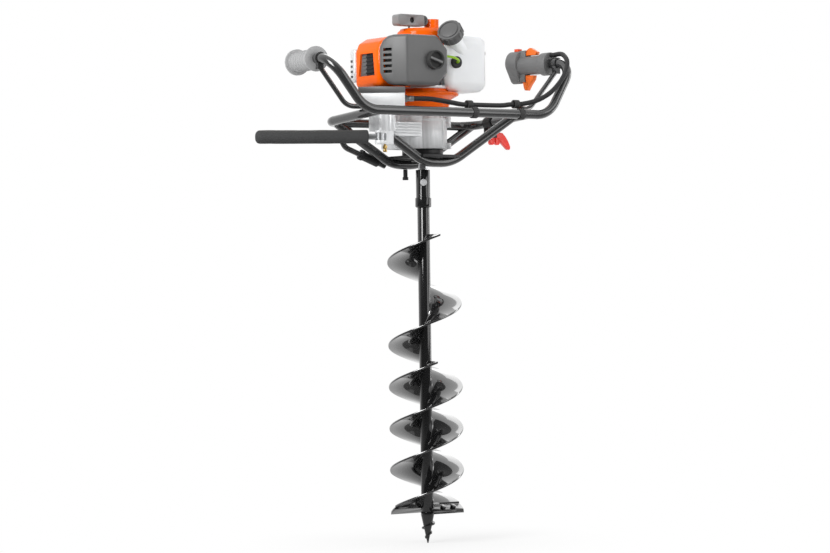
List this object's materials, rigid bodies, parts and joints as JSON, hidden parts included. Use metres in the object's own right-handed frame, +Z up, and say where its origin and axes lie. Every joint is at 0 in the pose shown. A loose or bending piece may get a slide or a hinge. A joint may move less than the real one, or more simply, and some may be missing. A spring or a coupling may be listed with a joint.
{
  "type": "earth auger",
  "caption": "Hand-held petrol earth auger: engine with pull starter over a reduction gearbox, tube handlebar frame with grips and throttle, foam hip bar, and a spiral flighted drill bit.",
  "frame": {"origin": "tip of the pilot point, on the axis of the bit", "axes": "+Z up the bit's axis towards the engine, +X along the handlebar towards the throttle grip, +Y the way the grips point"},
  "size_m": [0.7015, 0.2292, 1.08],
  "materials": {
    "black_gloss": "gloss",
    "steel": "machined",
    "gear_steel": "ground",
    "alloy": "cast",
    "black_cast": "painted cast",
    "orange": "moulded",
    "grey_plastic": "moulded",
    "dark_plastic": "moulded",
    "tank": "translucent",
    "tube_grey": "powder coat",
    "rod_grey": "zinc plated",
    "rubber": "matt",
    "grip_grey": "matt",
    "red": "moulded",
    "switch_red": "moulded",
    "lime": "moulded",
    "rope": "braided",
    "brass": "plain",
    "foam": "foam",
    "guard": "plated"
  },
  "bodies": {
    "frame": {"seal_carrier": "black_cast", "gearbox_case": "alloy", "clutch_housing": "alloy", "gear_bearings": "steel", "gearbox_screws": "steel", "clutch_cover": "orange", "crankcase": "alloy", "engine_cylinder": "alloy", "cylinder_cover": "orange", "vent_insert": "dark_plastic", "muffler": "guard", "fan_housing": "orange", "filter_cover": "grey_plastic", "carburettor": "alloy", "fuel_tank": "tank", "tank_grommets": "rubber", "fuel_line": "lime", "handlebar": "tube_grey", "rear_hoop": "tube_grey", "front_loop": "tube_grey", "rear_loop": "tube_grey", "stay_rods": "rod_grey", "base_plate": "black_cast", "frame_post": "alloy", "brake_box": "alloy", "brake_lid": "grey_plastic", "brake_link": "brass", "leg_rest": "rod_grey", "rubber_sleeves": "rubber", "left_grip": "grip_grey", "throttle_housing": "grey_plastic", "throttle_cable": "rubber", "tube_clips": "dark_plastic"},
    "bit": {"core_rod": "black_gloss", "bit_socket": "black_gloss", "flight_long": "black_gloss", "flight_short": "black_gloss", "pilot_screw": "black_gloss", "cutter_blades": "black_gloss", "cutter_bolts": "steel", "drive_pin": "steel", "output_shaft": "steel", "output_gear": "gear_steel"},
    "lay": {"lay_shaft": "gear_steel", "lay_gear": "gear_steel"},
    "drum": {"clutch_drum": "gear_steel"},
    "crank": {"crankshaft": "gear_steel", "clutch_shoes": "gear_steel", "flywheel": "alloy"},
    "pulley": {"starter_pulley": "dark_plastic"},
    "starter": {"starter_handle": "grey_plastic", "starter_rope": "rope"},
    "trigger": {"throttle_trigger": "orange"},
    "lock": {"trigger_lock": "orange"},
    "switch": {"stop_switch": "switch_red"},
    "knob": {"filter_knob": "dark_plastic"},
    "cap": {"fuel_cap": "grey_plastic"},
    "brake": {"brake_lever": "red"},
    "hip": {"hip_rod": "rod_grey", "hip_foam": "foam"}
  },
  "joints": [
    {"name": "bit_spin", "type": "hinge", "parent": "frame", "child": "bit", "pos_m": [0, 0, 0.8], "axis": [0, 0, 1], "continuous": true},
    {"name": "lay_spin", "type": "hinge", "parent": "frame", "child": "lay", "pos_m": [-0.04125, 0, 0.83], "axis": [0, 0, 1], "continuous": true},
    {"name": "drum_spin", "type": "hinge", "parent": "frame", "child": "drum", "pos_m": [0, 0, 0.87], "axis": [0, 0, 1], "continuous": true},
    {"name": "crank_spin", "type": "hinge", "parent": "frame", "child": "crank", "pos_m": [0, 0, 0.96], "axis": [0, 0, 1], "continuous": true},
    {"name": "starter_pull", "type": "slide", "parent": "frame", "child": "starter", "axis": [0, 0, 1], "range_m": [0, 0.5], "stiffness_N_per_m": 15, "springref_m": -0.15, "deforming": ["starter_rope"]},
    {"name": "pulley_spin", "type": "hinge", "parent": "frame", "child": "pulley", "pos_m": [0, 0, 1.035], "axis": [0, 0, 1], "range_deg": [0, 960]},
    {"name": "trigger_squeeze", "type": "hinge", "parent": "frame", "child": "trigger", "pos_m": [0.28298, 0.01786, 0.963], "axis": [-0.9848, -0.1736, 0], "range_deg": [0, 10], "stiffness_Nm_per_rad": 0.3, "springref_deg": -11.46},
    {"name": "lock_press", "type": "hinge", "parent": "frame", "child": "lock", "pos_m": [0.28367, 0.01392, 1.012], "axis": [0.9848, 0.1736, 0], "range_deg": [0, 7], "stiffness_Nm_per_rad": 0.2, "springref_deg": -11.46},
    {"name": "stop_slide", "type": "slide", "parent": "frame", "child": "switch", "axis": [-0.1736, 0.9848, 0], "range_m": [0, 0.007]},
    {"name": "knob_turn", "type": "hinge", "parent": "frame", "child": "knob", "pos_m": [-0.044, -0.102, 0.98], "axis": [0, -1, 0], "range_deg": [0, 90]},
    {"name": "cap_turn", "type": "hinge", "parent": "frame", "child": "cap", "pos_m": [0.025, -0.075, 1.032], "axis": [-0.721, -0.4206, 0.5507], "range_deg": [0, 90]},
    {"name": "brake_turn", "type": "hinge", "parent": "frame", "child": "brake", "pos_m": [0.176, 0, 0.84084], "axis": [0, -1, 0], "range_deg": [0, 38]},
    {"name": "hip_swing", "type": "hinge", "parent": "frame", "child": "hip", "pos_m": [-0.152, -0.064, 0.826], "axis": [0, 0, 1], "range_deg": [-10, 10]}
  ],
  "couplings": [
    {"joint": "lay_spin", "follows": "bit_spin", "ratio": -4.5},
    {"joint": "drum_spin", "follows": "bit_spin", "ratio": 20.25},
    {"joint": "pulley_spin", "follows": "starter_pull", "rad_per_m": 33.333}
  ]
}
